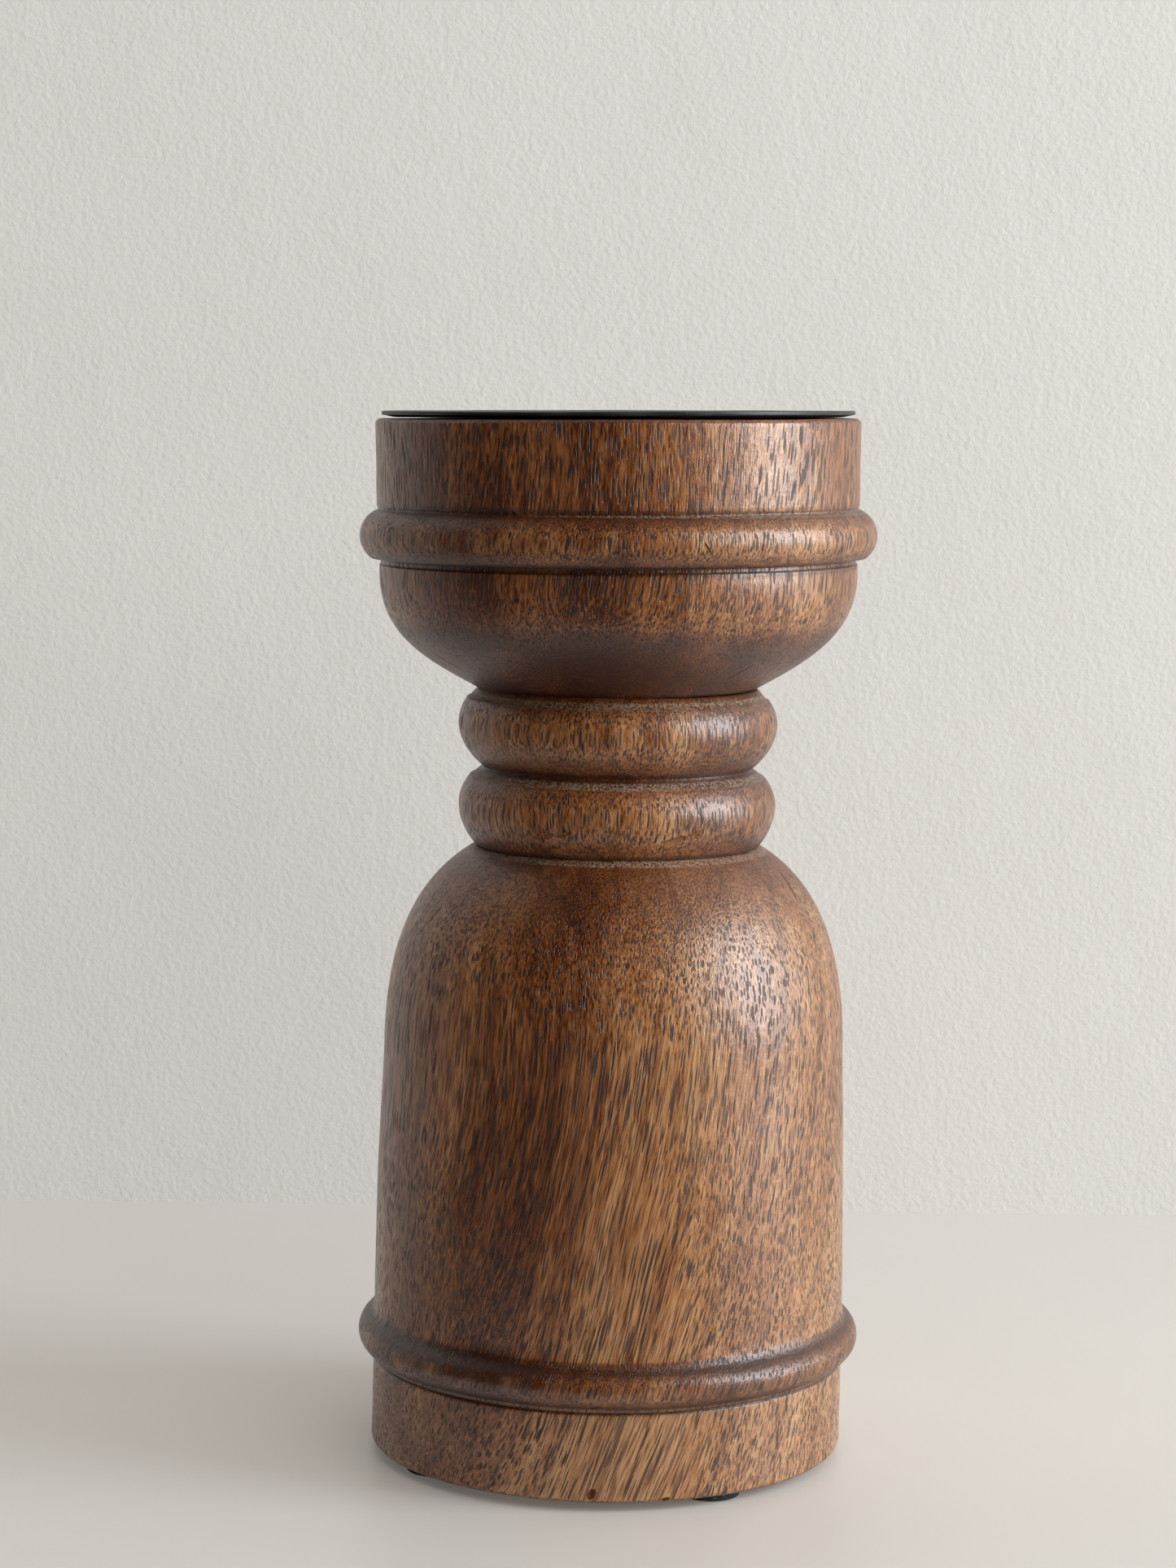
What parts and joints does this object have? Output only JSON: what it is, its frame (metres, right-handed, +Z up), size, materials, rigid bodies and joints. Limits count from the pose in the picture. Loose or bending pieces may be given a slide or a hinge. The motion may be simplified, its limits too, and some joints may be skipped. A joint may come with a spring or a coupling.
{
  "type": "pillar candlestick",
  "caption": "Turned wooden pillar candlestick with a bell-shaped base, a double-ring neck and a beaded cup under a flat black metal candle plate.",
  "frame": {"origin": "on the turning axis, in the plane that the foot pads stand on", "axes": "+Z up along the turning axis; -Y is the front, +X is to the right seen from the front"},
  "size_m": [0.1086, 0.1086, 0.2216],
  "materials": {
    "stained_wood": "brown stain under a thin semi-gloss wax, open pores",
    "dowel_wood": "plain unfinished hardwood",
    "black_metal": "satin black paint on sheet steel",
    "screw_steel": "zinc plated",
    "pad_foam": "matt black foam rubber with pale flecks"
  },
  "bodies": {
    "root": {"base_section": "stained_wood", "neck_section": "stained_wood", "cup_section": "stained_wood", "centre_dowel": "dowel_wood", "candle_plate": "black_metal", "plate_screw": "screw_steel", "foot_pad_1": "pad_foam", "foot_pad_2": "pad_foam", "foot_pad_3": "pad_foam", "foot_pad_4": "pad_foam"}
  },
  "joints": []
}
